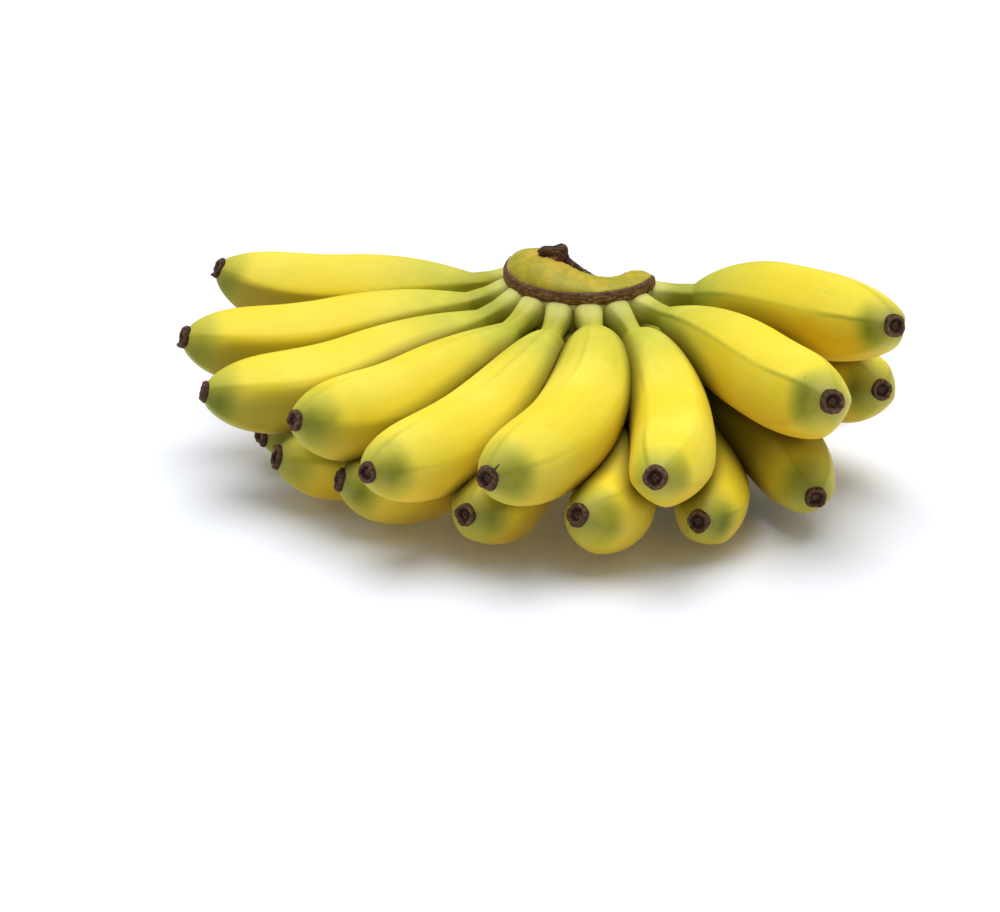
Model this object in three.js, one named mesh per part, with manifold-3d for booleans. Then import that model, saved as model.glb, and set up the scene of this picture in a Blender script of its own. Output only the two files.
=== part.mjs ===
// A hand of yellow baby bananas, cut from its bunch and laid down on a flat surface.
// Nine fingers of the upper row and nine of the lower row grow from one crescent-shaped crown.
// Units are millimetres, +Z is up and -Y faces the viewer. The origin is the middle of the
// hand's bounding box, on the surface that it lies on.
import * as THREE from 'three';
import { mergeVertices } from 'three/addons/utils/BufferGeometryUtils.js';
import Module from 'manifold-3d';

// Where the crown's axis stands in the frame of the hand.
const crownX = 18;
const crownY = 53.5;

// The crown: a crescent pad with a brown scar band around its outer edge.
const crownWallRadius = 26.6;
const crownFootZ = 31;
const bandRadius = 27.7;
const bandFootZ = 54.7;
const bandTopZ = 59.6;
const cushionLowZ = 60.4;
const cushionRise = 5.6;
const cutRadius = 11;
const cutNarrowing = 7;
const crownStart = -127;
const crownEnd = 80;
const crownEndLength = 12;
const crownEndSize = 0.35;
const cushionRidge = 0.45;
const crownSteps = 20;

// The dried piece of stem torn off with the crown, at its inner edge.
const tornSize = 4.6;
const tornAzimuth = -55;
const tornRadius = 12.5;
const tornZ = 65.7;

// Where the stalks leave the crown.
const rootRadius = 27;
const upperRootZ = 50.7;
const lowerRootZ = 39;
const rootDepth = 5;

// A finger's thickness along its length, as half-thicknesses at shares of the length.
const rootHalf = 5.3;
const stalkHalf = 4.2;
const bellyHalf = 15.2;
const endHalf = 4.2;
const blossomHalf = 3.8;
const blossomLength = 2;
const flareShare = 0.08;
const stalkShare = 0.12;
const bellyShare = 0.54;
const shoulderEase = 0.58;
const endFullness = 5;
const endRoundness = 0.84;

// A finger's section is a five-sided shape with rounded edges.
const ridges = 5;
const ridgeSharpness = 0.38;
const facetReach = 1.05;
const sectionSides = 10;
const stations = [0.07, 0.15, 0.21, 0.28, 0.37, 0.48, 0.61, 0.73, 0.82, 0.89, 0.94, 0.975, 1];
const curvePull = 0.36;

// Touching pieces keep this gap.
const gap = 0.3;

// Each finger's root azimuth on the crown, its heading as it leaves the crown, its tip and its
// heading there. Azimuths turn from -Y towards +X and pitches rise, both in degrees. Tips are
// measured from the crown's axis. Girth scales the thickness and neck the stalk's length. Ease,
// belly and fullness stand in for the usual shoulder, place of the belly and roundness of the
// end. Turn is the angle at which the first ridge stands.
const upperFingers = [
  { root: -108, out: [-95, -5], tip: [-132.6, 18, 52.8], end: [-84, 32], fullness: 4, turn: 4 },
  { root: -82, out: [-76, -10], tip: [-139.4, -33, 46], end: [-78, 22], girth: 0.99, turn: 16 },
  { root: -60, out: [-62, -16], tip: [-128.6, -69, 40.8], end: [-76, 17], turn: 18 },
  { root: -40, out: [-40, -20], tip: [-96.1, -96, 42.3], end: [-56, 18], girth: 1.03, turn: -3 },
  {
    root: -18, out: [-15, -21], tip: [-71.4, -124, 36.7], end: [-45, 11],
    girth: 0.97, neck: 0.85, ease: 0.4,
  },
  { root: 4, out: [9, -20], tip: [-33.5, -134, 39.4], end: [-43, 8], neck: 0.75, ease: 0.32, turn: 15 },
  {
    root: 26, out: [34, -24], tip: [18.5, -138, 41.8], end: [-19, 22],
    girth: 0.96, neck: 0.85, ease: 0.36, belly: 0.48, fullness: 4.2, turn: -24,
  },
  { root: 48, out: [52, -4], tip: [75.2, -118, 58.5], end: [19, 24], neck: 0.85, ease: 0.52, turn: 49 },
  {
    root: 75, out: [88, 4], tip: [98.4, -88, 72], end: [25, 21],
    girth: 1.03, neck: 1.05, ease: 0.48, belly: 0.46, fullness: 3.8, turn: -10,
  },
];
const lowerFingers = [
  { root: -95, out: [-62, -42], tip: [-113, -45, 14], end: [-65, 4], girth: 0.9, rests: true },
  { root: -70, out: [-28, -50], tip: [-104.6, -76.5, 17.2], end: [-76, 17], turn: 10, rests: true },
  { root: -48, out: [-6, -52], tip: [-82.4, -95.5, 18.6], end: [-80, 18], turn: -8, rests: true },
  { root: -28, out: [-6, -48], tip: [-40.6, -119, 19], end: [-36, 17], girth: 0.97, turn: 5, rests: true },
  { root: -7, out: [26, -48], tip: [-5.2, -126.5, 20], end: [-50, 30], girth: 0.94, turn: -28, rests: true },
  { root: 20, out: [68, -24], tip: [34, -119, 26.3], end: [-26, 18], girth: 0.87, turn: 12, rests: true },
  { root: 37, out: [66, -3], tip: [74, -103, 17.4], end: [12, 0], girth: 0.95, turn: -30 },
  { root: 62, out: [80, -13], tip: [100, -64, 39], end: [18, 18], girth: 0.95, neck: 0.8, turn: 20 },
  { root: 79, out: [98, -34], tip: [99, 4, 23], end: [84, 24], girth: 0.95, neck: 0.8, rests: true },
];

const peelColour = 0xe8c92e;
const crownColour = 0x8a7a2c;
const peelRoughness = 0.42;
const crownRoughness = 0.7;

const wasm = await Module();
wasm.setup();

function smoothStep(x) {
  const t = Math.min(Math.max(x, 0), 1);
  return t * t * (3 - 2 * t);
}

// The unit vector of a heading given as azimuth and pitch in degrees.
function heading([azimuth, pitch]) {
  const a = THREE.MathUtils.degToRad(azimuth);
  const p = THREE.MathUtils.degToRad(pitch);
  return new THREE.Vector3(Math.sin(a) * Math.cos(p), -Math.cos(a) * Math.cos(p), Math.sin(p));
}

// The point at an azimuth, a distance from the crown's axis and a height.
function aroundCrown(azimuth, radius, z) {
  const a = THREE.MathUtils.degToRad(azimuth);
  return new THREE.Vector3(crownX + Math.sin(a) * radius, crownY - Math.cos(a) * radius, z);
}

// A closed geometry from rings of equally many points, with a fan over each end.
function loft(rings) {
  const sides = rings[0].length;
  const middle = (ring) => ring
    .reduce((sum, point) => sum.add(point), new THREE.Vector3())
    .divideScalar(sides);
  const points = [...rings.flat(), middle(rings[0]), middle(rings.at(-1))];
  const first = rings.length * sides;
  const faces = [];
  for (let j = 0; j < sides; j++) {
    const k = (j + 1) % sides;
    for (let i = 0; i + 1 < rings.length; i++) {
      const low = i * sides;
      const high = low + sides;
      faces.push(low + j, low + k, high + k, low + j, high + k, high + j);
    }
    const last = (rings.length - 1) * sides;
    faces.push(k, j, first, last + j, last + k, first + 1);
  }
  const geometry = new THREE.BufferGeometry().setFromPoints(points);
  geometry.setIndex(faces);
  return geometry;
}

function toSolid(geometry) {
  const merged = mergeVertices(geometry, 1e-4);
  return new wasm.Manifold(new wasm.Mesh({
    numProp: 3,
    vertProperties: new Float32Array(merged.attributes.position.array),
    triVerts: new Uint32Array(merged.index.array),
  }));
}

function toGeometry(solid) {
  const mesh = solid.getMesh();
  const geometry = new THREE.BufferGeometry();
  geometry.setAttribute('position', new THREE.BufferAttribute(mesh.vertProperties, 3));
  geometry.setIndex(new THREE.BufferAttribute(mesh.triVerts, 1));
  geometry.computeVertexNormals();
  return geometry;
}

// A finger's half-thickness at a share of its length.
function halfThickness(share, finger) {
  const stalkEnd = stalkShare * (finger.neck ?? 1);
  const belly = finger.belly ?? bellyShare;
  const flare = Math.max(1 - share / flareShare, 0) ** 2 * (rootHalf - stalkHalf);
  const shoulder = Math.min(Math.max((share - stalkEnd) / (belly - stalkEnd), 0), 1);
  const body = smoothStep(shoulder ** (finger.ease ?? shoulderEase));
  const past = Math.max((share - belly) / (1 - belly), 0);
  const taper = (1 - past ** (finger.fullness ?? endFullness)) ** endRoundness;
  const end = endHalf - stalkHalf + taper * (bellyHalf - endHalf);
  return (stalkHalf + flare + body * end) * (finger.girth ?? 1);
}

// The section's reach at an angle round it, as a share of the half-thickness.
function sectionReach(angle) {
  const facet = 2 * Math.PI / ridges;
  const across = ((angle % facet) + facet) % facet - facet / 2;
  const flat = Math.cos(facet / 2) / Math.cos(across);
  return (1 - ridgeSharpness) + ridgeSharpness * flat * facetReach;
}

// A finger as a closed geometry, with every face moved out by grow.
function fingerGeometry(finger, rootZ, grow) {
  const root = aroundCrown(finger.root, rootRadius, rootZ);
  const tip = new THREE.Vector3(crownX + finger.tip[0], crownY + finger.tip[1], finger.tip[2]);
  const out = heading(finger.out);
  const end = heading(finger.end);
  const pull = root.distanceTo(tip) * curvePull;
  const curve = new THREE.CubicBezierCurve3(
    root,
    root.clone().addScaledVector(out, pull),
    tip.clone().addScaledVector(end, -pull),
    tip,
  );
  const length = curve.getLength();
  const bodyShare = 1 - blossomLength / length;
  const places = [
    { share: 0, shift: -rootDepth - grow, half: rootHalf },
    { share: 0, shift: 0, half: rootHalf },
    ...stations.map((share) => ({
      share: share * bodyShare,
      shift: 0,
      half: halfThickness(share, finger),
    })),
    { share: bodyShare, shift: 0.2 + grow, half: blossomHalf },
    { share: 1, shift: grow, half: blossomHalf },
  ];
  const side = new THREE.Vector3();
  const upward = new THREE.Vector3(0, 0, 1);
  const rings = places.map(({ share, shift, half }) => {
    const tangent = curve.getTangentAt(share);
    const centre = curve.getPointAt(share).addScaledVector(tangent, shift);
    upward.addScaledVector(tangent, -upward.dot(tangent)).normalize();
    side.crossVectors(tangent, upward);
    return Array.from({ length: sectionSides }, (_, j) => {
      const angle = 2 * Math.PI * j / sectionSides;
      const reach = half * sectionReach(angle) + grow;
      const turned = angle + THREE.MathUtils.degToRad(finger.turn ?? 0);
      return centre.clone()
        .addScaledVector(upward, Math.cos(turned) * reach)
        .addScaledVector(side, Math.sin(turned) * reach);
    });
  });
  if (finger.rests) {
    const lowest = Math.min(...rings.flat().map((point) => point.z)) + grow;
    rings.forEach((ring, i) => {
      const drop = lowest * smoothStep(places[i].share / bellyShare);
      ring.forEach((point) => { point.z -= drop; });
    });
  }
  return loft(rings);
}

// The crown's cushion is highest over its left end.
function cushionZ(azimuth) {
  const rise = smoothStep((40 - azimuth) / 100) - 0.4 * smoothStep((-75 - azimuth) / 45);
  return cushionLowZ + cushionRise * rise;
}

// The cut that frees the crown from the stem leaves it thinner towards its right end.
function cutAt(azimuth) {
  return cutRadius + cutNarrowing * smoothStep((azimuth + 10) / 80);
}

// A counterclockwise outline with every edge moved out by grow.
function growOutline(outline, grow) {
  return outline.map(([r, z], i) => {
    const [rBefore, zBefore] = outline.at(i - 1);
    const [rAfter, zAfter] = outline[(i + 1) % outline.length];
    const edgeNormal = new THREE.Vector2(z - zBefore, rBefore - r).normalize();
    const nextNormal = new THREE.Vector2(zAfter - z, r - rAfter).normalize();
    const normal = edgeNormal.clone().add(nextNormal).normalize();
    const reach = grow / normal.dot(edgeNormal);
    return [r + normal.x * reach, z + normal.y * reach];
  });
}

// The crown as a closed geometry, with every face moved out by grow.
function crownGeometry(grow) {
  const rings = [];
  const longer = THREE.MathUtils.radToDeg(grow / crownWallRadius);
  for (let i = 0; i <= crownSteps; i++) {
    const azimuth = crownEnd + (crownStart - crownEnd) * i / crownSteps;
    const placed = azimuth + longer * (1 - 2 * i / crownSteps);
    const fromEnd = Math.min(azimuth - crownStart, crownEnd - azimuth) / crownEndLength;
    const rounded = Math.sqrt(Math.max(1 - (1 - Math.min(fromEnd, 1)) ** 2, 0));
    const fullness = crownEndSize + (1 - crownEndSize) * rounded;
    const topZ = cushionZ(azimuth);
    const cut = cutAt(azimuth);
    const ridge = cut + (crownWallRadius - cut) * cushionRidge;
    const outline = [
      [cut + 2, crownFootZ],
      [crownWallRadius - 3, crownFootZ],
      [crownWallRadius, crownFootZ + 4],
      [crownWallRadius, bandFootZ - 1],
      [bandRadius, bandFootZ],
      [bandRadius, bandTopZ],
      [crownWallRadius, bandTopZ + 0.4],
      [(ridge + crownWallRadius) / 2, topZ - (topZ - bandTopZ) * 0.25],
      [ridge, topZ],
      [cut + 1, topZ - 0.3],
      [cut, topZ - 2],
      [cut - 1, (topZ + crownFootZ) / 2],
    ];
    const middleRadius = (crownWallRadius + cut) / 2;
    const middleZ = bandFootZ - 6;
    const sized = outline.map(([radius, z]) => [
      middleRadius + (radius - middleRadius) * fullness,
      middleZ + (z - middleZ) * fullness,
    ]);
    rings.push(growOutline(sized, grow).map(([radius, z]) => aroundCrown(placed, radius, z)));
  }
  return loft(rings);
}

function tornPiece() {
  const piece = new THREE.IcosahedronGeometry(tornSize, 1);
  piece.deleteAttribute('normal');
  piece.deleteAttribute('uv');
  piece.scale(1.15, 0.8, 1.1);
  piece.rotateZ(THREE.MathUtils.degToRad(-20));
  const place = aroundCrown(tornAzimuth, tornRadius, tornZ);
  piece.translate(place.x, place.y, place.z);
  return piece;
}

const hand = new THREE.Group();
hand.name = 'baby_banana_hand';

function addPiece(name, solid, colour, roughness) {
  const material = new THREE.MeshStandardMaterial({ color: colour, roughness, metalness: 0 });
  const mesh = new THREE.Mesh(toGeometry(solid), material);
  mesh.name = name;
  hand.add(mesh);
}

const crown = toSolid(crownGeometry(0)).add(toSolid(tornPiece()));
addPiece('crown', crown, crownColour, crownRoughness);

// Each finger is cut back where the crown or an earlier finger presses on it. Front fingers
// come first, so that those behind give way to them.
const pressing = [toSolid(crownGeometry(gap))];
const rows = [
  { prefix: 'upper_banana_', fingers: upperFingers, rootZ: upperRootZ },
  { prefix: 'lower_banana_', fingers: lowerFingers, rootZ: lowerRootZ },
];
for (const { prefix, fingers, rootZ } of rows) {
  const frontFirst = [...fingers.keys()].sort((i, j) => fingers[i].tip[1] - fingers[j].tip[1]);
  frontFirst.forEach((i) => {
    const finger = fingers[i];
    let solid = toSolid(fingerGeometry(finger, rootZ, 0));
    for (const neighbour of pressing) {
      solid = solid.subtract(neighbour);
    }
    addPiece(prefix + (i + 1), solid, peelColour, peelRoughness);
    pressing.push(toSolid(fingerGeometry(finger, rootZ, gap)));
  });
}

export default hand;
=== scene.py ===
# A hand of yellow baby bananas lying on a pale floor in soft studio light.
import math
import random
from bisect import bisect_right

import bmesh
import bpy
from mathutils import Matrix, Vector, noise
from mathutils.bvhtree import BVHTree
from mathutils.geometry import interpolate_bezier


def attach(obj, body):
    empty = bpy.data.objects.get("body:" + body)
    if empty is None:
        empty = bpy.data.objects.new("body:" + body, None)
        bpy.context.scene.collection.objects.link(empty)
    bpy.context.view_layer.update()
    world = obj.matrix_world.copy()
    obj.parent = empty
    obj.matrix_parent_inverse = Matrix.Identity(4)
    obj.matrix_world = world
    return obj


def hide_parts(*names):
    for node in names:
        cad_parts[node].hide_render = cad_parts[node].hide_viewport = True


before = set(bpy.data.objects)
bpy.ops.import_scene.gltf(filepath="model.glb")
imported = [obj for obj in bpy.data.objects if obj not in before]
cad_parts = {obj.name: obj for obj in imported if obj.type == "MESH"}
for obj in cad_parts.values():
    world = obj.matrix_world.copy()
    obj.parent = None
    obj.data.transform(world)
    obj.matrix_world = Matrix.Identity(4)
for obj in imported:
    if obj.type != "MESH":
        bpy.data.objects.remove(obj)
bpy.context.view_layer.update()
print("frame loaded")

mm = 0.001
noise.seed_set(1)  # otherwise the blossom ends would differ from run to run

# The camera looks down on the hand through a long lens.
view = {
    "lens": 85,
    "sensor": 36,
    "place": (-10.9 * mm, -738.8 * mm, 354.2 * mm),
    "lookDown": 25,
}
camera = bpy.data.objects.new("camera", bpy.data.cameras.new("camera"))
camera.data.lens = view["lens"]
camera.data.sensor_width = view["sensor"]
camera.location = view["place"]
camera.rotation_euler = (math.radians(90 - view["lookDown"]), 0, 0)
bpy.context.scene.collection.objects.link(camera)
bpy.context.scene.camera = camera

studio = {
    "suns": ((-13, -28, 0.7, 76), (-8, 2, 2.2, 54), (-13, 28, 0.8, 76)),  # back, side, power, width
    "ambient": 0.07,
    "ambientTint": (0.65, 0.85, 1.8, 1),
    "backdrop": 1.0,
    "floorSeen": (0.93, 0.95, 0.99, 1),
    "floorGlow": (0.75, 0.85, 1, 1),
    "glow": (0.12, 0.034),
    "floorBounce": (0.9, 0.91, 0.94, 1),
    "floorSize": 4,
    "floorRoughness": 0.9,
    "floorSpecular": 0.1,
}


def smoothStep(x):
    t = min(max(x, 0), 1)
    return t * t * (3 - 2 * t)


def fade(x, low, high):
    return smoothStep((x - low) / (high - low))


def heading(azimuth, pitch):
    a = math.radians(azimuth)
    p = math.radians(pitch)
    return Vector((math.sin(a) * math.cos(p), -math.cos(a) * math.cos(p), math.sin(p)))


def colour(hexCode):
    shares = [int(hexCode[i:i + 2], 16) / 255 for i in (0, 2, 4)]
    linear = [c / 12.92 if c < 0.04045 else ((c + 0.055) / 1.055) ** 2.4 for c in shares]
    return (*linear, 1)


# Shader helpers. Settings are a node's own options, and an input's value is a number, a colour or
# another node's output.
def addNode(tree, kind, inputs=None, **settings):
    node = tree.nodes.new(kind)
    for name, value in settings.items():
        setattr(node, name, value)
    for name, value in (inputs or {}).items():
        if isinstance(value, bpy.types.NodeSocket):
            tree.links.new(value, node.inputs[name])
        else:
            node.inputs[name].default_value = value
    return node


def mathNode(tree, operation, first, second=0.0, clamp=False):
    node = addNode(tree, "ShaderNodeMath", {0: first, 1: second}, operation=operation, use_clamp=clamp)
    return node.outputs[0]


def multiplyAdd(tree, first, second, third):
    inputs = {0: first, 1: second, 2: third}
    return addNode(tree, "ShaderNodeMath", inputs, operation="MULTIPLY_ADD").outputs[0]


def mapValue(tree, value, low, high, toLow=0.0, toHigh=1.0):
    inputs = {0: value, 1: low, 2: high, 3: toLow, 4: toHigh}
    return addNode(tree, "ShaderNodeMapRange", inputs, interpolation_type="SMOOTHSTEP").outputs[0]


def mixColour(tree, factor, first, second, blend="MIX"):
    inputs = {0: factor, 6: first, 7: second}
    return addNode(tree, "ShaderNodeMix", inputs, data_type="RGBA", blend_type=blend).outputs[2]


def noiseNode(tree, vector, scale, detail=2.0, roughness=0.5):
    inputs = {"Vector": vector, "Scale": scale, "Detail": detail, "Roughness": roughness}
    return addNode(tree, "ShaderNodeTexNoise", inputs).outputs[0]


def stretched(tree, vector, stretch):
    return addNode(tree, "ShaderNodeMapping", {"Vector": vector, "Scale": stretch}).outputs[0]


def readAttribute(tree, name, output="Fac"):
    return addNode(tree, "ShaderNodeAttribute", attribute_name=name).outputs[output]


def newMaterial(name):
    material = bpy.data.materials.new(name)
    material.use_nodes = True
    return material, material.node_tree, material.node_tree.nodes["Principled BSDF"]


def newGroup(name, inputs, outputs):
    group = bpy.data.node_groups.new(name, "ShaderNodeTree")
    for label, kind, value in inputs:
        socket = group.interface.new_socket(label, in_out="INPUT", socket_type=kind)
        if value is not None:
            socket.default_value = value
    for label, kind in outputs:
        group.interface.new_socket(label, in_out="OUTPUT", socket_type=kind)
    return group, group.nodes.new("NodeGroupInput").outputs, group.nodes.new("NodeGroupOutput").inputs


def useGroup(tree, group, inputs):
    return addNode(tree, "ShaderNodeGroup", inputs, node_tree=group).outputs


blemishLook = {
    "rareAt": (0.66, 0.85),
    "speckSize": 0.15,
    "speckEdge": 0.08,
    "blotchAt": (0.3, 0.7),
}


# Scattered brown specks and soft blotches, as old skin has them.
def makeBlemishes():
    look = blemishLook
    group, given, result = newGroup(
        "skinBlemishes",
        [("Vector", "NodeSocketVector", None), ("Speck Scale", "NodeSocketFloat", 420.0),
         ("Blotch Scale", "NodeSocketFloat", 60.0)],
        [("Specks", "NodeSocketFloat"), ("Blotches", "NodeSocketFloat")],
    )
    placed = {"Vector": given["Vector"], "Scale": given["Speck Scale"]}
    cells = addNode(group, "ShaderNodeTexVoronoi", placed)
    rare = noiseNode(group, given["Vector"], given["Blotch Scale"], 1.0)
    size = mapValue(group, rare, *look["rareAt"], 0.0, look["speckSize"])
    away = mathNode(group, "SUBTRACT", cells.outputs["Distance"], size)
    group.links.new(mapValue(group, away, 0.0, look["speckEdge"], 1.0, 0.0), result["Specks"])
    blotch = noiseNode(group, given["Vector"], given["Blotch Scale"], 3.0, 0.6)
    group.links.new(mapValue(group, blotch, *look["blotchAt"]), result["Blotches"])
    return group


tissueLook = {
    "detail": 5.0,
    "roughness": 0.65,
    "crumbAt": (0.1, 0.7),
    "crumbHeight": 0.45,
    "maskAt": (0.38, 0.68),
}


# Dried plant tissue: wrinkles and crumbs as a mask and a height.
def makeDriedTissue():
    look = tissueLook
    group, given, result = newGroup(
        "driedTissue",
        [("Vector", "NodeSocketVector", None), ("Scale", "NodeSocketFloat", 500.0)],
        [("Mask", "NodeSocketFloat"), ("Height", "NodeSocketFloat")],
    )
    placed = {"Vector": given["Vector"], "Scale": given["Scale"]}
    broad = noiseNode(group, given["Vector"], given["Scale"], look["detail"], look["roughness"])
    cells = addNode(group, "ShaderNodeTexVoronoi", placed)
    crumbs = mapValue(group, cells.outputs["Distance"], *look["crumbAt"])
    group.links.new(mapValue(group, broad, *look["maskAt"]), result["Mask"])
    group.links.new(multiplyAdd(group, crumbs, look["crumbHeight"], broad), result["Height"])
    return group


blemishes = makeBlemishes()
driedTissue = makeDriedTissue()

# The peel's colours, how much of each and how fine its patterns are. The bump is strength and height.
peelLook = {
    "lemon": "fae238",
    "butter": "ffea50",
    # Painted warm shade on the skin that faces down.
    "warmShade": "e4b428",
    # Painted olive shade on the underside and at the necks of shaded fingers.
    "oliveShade": "8a7d1e",
    # Painted contact shade: dark olive where other fingers lie close.
    "contactShade": "675410",
    "contactShadeShare": 0.7,
    "neckGreen": "d0cf4a",
    "tipGreen": "6f7519",
    "sage": "a9a64a",
    # Pale stalk root: partly its own colour, partly painted highlight.
    "paleRootAndHighlight": "e0dd82",
    "ridgeGreen": "939422",
    "ridgeWidth": 1.5,  # in millimetres
    "speck": "6b4a1c",
    "speckShare": 0.35,
    "speckScale": 330.0,
    "blotchScale": 45.0,
    "cloudScale": 38.0,
    "streakScale": 700.0,
    "streakStretch": (1, 1, 0.06),
    "poreScale": 1400.0,
    "roughness": (0.42, 0.55),
    "bump": (0.2, 0.08),
    "specular": 0.15,
    "coat": (0.02, 0.3),
    # From a noise's value to a share of the colour.
    "butterClouds": (0.35, 0.7),
    "warmShadeClouds": (0.2, 0.8, 1.15, 0.75),
    "greenBlotches": (0.0, 1.0, 0.75, 1.2),
    "ridgeClouds": (0.3, 0.7, 0.5, 1.0),
    "roughClouds": (0.3, 0.7),
    "paleStreaks": (0.3, 0.7, 0.975, 1.015),
}


# Strength is a share, and tall is in millimetres.
def bumpUp(tree, skin, height, strength, tall):
    inputs = {"Strength": strength, "Distance": tall * mm, "Height": height}
    tree.links.new(addNode(tree, "ShaderNodeBump", inputs).outputs[0], skin.inputs["Normal"])


def findBlemishes(tree, place, look):
    inputs = {"Vector": place, "Speck Scale": look["speckScale"], "Blotch Scale": look["blotchScale"]}
    return useGroup(tree, blemishes, inputs)


def makePeelMaterial():
    look = peelLook
    material, tree, skin = newMaterial("banana_peel")
    place = readAttribute(tree, "unbent", "Vector")
    blotchy = findBlemishes(tree, place, look)
    streaks = noiseNode(tree, stretched(tree, place, look["streakStretch"]), look["streakScale"], 3.0)
    clouds = noiseNode(tree, place, look["cloudScale"], 3.0)
    cloudy = mapValue(tree, clouds, *look["butterClouds"])
    body = mixColour(tree, cloudy, colour(look["lemon"]), colour(look["butter"]))
    # Painted warm shade on the skin that faces down.
    warmShadeNoise = mapValue(tree, clouds, *look["warmShadeClouds"])
    warmShade = mathNode(tree, "MULTIPLY", readAttribute(tree, "warmShade"), warmShadeNoise)
    body = mixColour(tree, warmShade, body, colour(look["warmShade"]))
    # Painted olive shade underneath and at the necks of shaded fingers.
    body = mixColour(tree, readAttribute(tree, "oliveShade"), body, colour(look["oliveShade"]))
    greenNoise = mapValue(tree, blotchy["Blotches"], *look["greenBlotches"])
    neck = mathNode(tree, "MULTIPLY", readAttribute(tree, "neckGreen"), greenNoise, True)
    body = mixColour(tree, neck, body, colour(look["neckGreen"]))
    # Painted contact shade where another finger lies close.
    contactShade = mathNode(tree, "MULTIPLY", readAttribute(tree, "contactShade"), look["contactShadeShare"])
    body = mixColour(tree, contactShade, body, colour(look["contactShade"]))
    line = mapValue(tree, readAttribute(tree, "fromRidge"), 0.0, look["ridgeWidth"] * mm, 1.0, 0.0)
    line = mathNode(tree, "MULTIPLY", line, readAttribute(tree, "ridgeMark"))
    line = mathNode(tree, "MULTIPLY", line, mapValue(tree, clouds, *look["ridgeClouds"]))
    body = mixColour(tree, line, body, colour(look["ridgeGreen"]))
    tip = mathNode(tree, "MULTIPLY", readAttribute(tree, "tipGreen"), greenNoise, True)
    body = mixColour(tree, tip, body, colour(look["tipGreen"]))
    body = mixColour(tree, readAttribute(tree, "sage"), body, colour(look["sage"]))
    # Pale stalk root, partly painted highlight.
    body = mixColour(tree, readAttribute(tree, "paleRootAndHighlight"), body, colour(look["paleRootAndHighlight"]))
    streaky = mapValue(tree, streaks, *look["paleStreaks"])
    body = mixColour(tree, 1.0, body, streaky, "MULTIPLY")
    specks = mathNode(tree, "MULTIPLY", blotchy["Specks"], look["speckShare"])
    body = mixColour(tree, specks, body, colour(look["speck"]))
    tree.links.new(body, skin.inputs["Base Color"])
    rough = mapValue(tree, clouds, *look["roughClouds"], *look["roughness"])
    tree.links.new(rough, skin.inputs["Roughness"])
    pores = noiseNode(tree, place, look["poreScale"], 2.0)
    bumpUp(tree, skin, mathNode(tree, "ADD", streaks, pores), *look["bump"])
    coat, coatRoughness = look["coat"]
    skin.inputs["Specular IOR Level"].default_value = look["specular"]
    skin.inputs["Coat Weight"].default_value = coat
    skin.inputs["Coat Roughness"].default_value = coatRoughness
    return material


driedLook = {
    "dark": "1d120d",
    "brown": "4b2c19",
    "pale": "8a6038",
    "scale": 900.0,
    "wornRim": (0.35, 1.0),
    "roughness": 0.85,
    "bump": (0.9, 0.5),
}


def makeBlossomMaterial():
    look = driedLook
    material, tree, skin = newMaterial("dried_blossom_end")
    place = readAttribute(tree, "unbent", "Vector")
    dried = useGroup(tree, driedTissue, {"Vector": place, "Scale": look["scale"]})
    shade = mixColour(tree, dried["Mask"], colour(look["dark"]), colour(look["brown"]))
    worn = mapValue(tree, dried["Mask"], 0.0, 1.0, *look["wornRim"])
    rim = mathNode(tree, "MULTIPLY", readAttribute(tree, "rim"), worn)
    shade = mixColour(tree, rim, shade, colour(look["pale"]))
    tree.links.new(shade, skin.inputs["Base Color"])
    skin.inputs["Roughness"].default_value = look["roughness"]
    bumpUp(tree, skin, dried["Height"], *look["bump"])
    return material


barkLooks = {
    "scar_band_cork": {
        "dark": "5c3c20", "brown": "a37444", "pale": "c39c68",
        "scale": 900.0, "stretch": (0.35, 1, 1), "bump": (0.9, 0.3),
    },
    "torn_stem_fibres": {
        "dark": "2a170d", "brown": "6a4226", "pale": "9a6f42",
        "scale": 700.0, "stretch": (0.25, 1, 1), "bump": (0.9, 0.6),
    },
    "dried_cut_face": {
        "dark": "241509", "brown": "6b4520", "pale": "a97c45",
        "scale": 380.0, "stretch": (1, 1, 0.3), "bump": (0.9, 0.6),
    },
}


barkFlecks = {
    "finer": 1.7,
    "at": (0.56, 0.7),
    "roughness": 0.82,
}


# Cork, fibres and cut tissue: dried brown skin with pale flecks, darker where "edge" says so.
def makeBarkMaterial(name):
    look = barkLooks[name]
    material, tree, skin = newMaterial(name)
    place = stretched(tree, readAttribute(tree, "unbent", "Vector"), look["stretch"])
    dried = useGroup(tree, driedTissue, {"Vector": place, "Scale": look["scale"]})
    shade = mixColour(tree, dried["Mask"], colour(look["dark"]), colour(look["brown"]))
    flecks = noiseNode(tree, place, look["scale"] * barkFlecks["finer"], 2.0)
    flecks = mapValue(tree, flecks, *barkFlecks["at"])
    shade = mixColour(tree, flecks, shade, colour(look["pale"]))
    shade = mixColour(tree, readAttribute(tree, "edge"), shade, colour(look["dark"]))
    tree.links.new(shade, skin.inputs["Base Color"])
    skin.inputs["Roughness"].default_value = barkFlecks["roughness"]
    bumpUp(tree, skin, dried["Height"], *look["bump"])
    return material


crownLook = {
    "skin": "ccb430",
    "green": "a8a02c",
    "orange": "e2b146",
    "pale": "cdcb7c",
    "wall": "a5a04a",
    "speck": "6b4a1c",
    "speckShare": 0.6,
    "speckScale": 500.0,
    "blotchScale": 160.0,
    "fibreScale": 420.0,
    "fibreStretch": (1, 1, 0.12),
    "fibresAt": (0.35, 0.7),
    "creaseScale": 500.0,
    "roughness": 0.5,
    "bump": (0.4, 0.25),
    "specular": 0.22,
}


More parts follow.
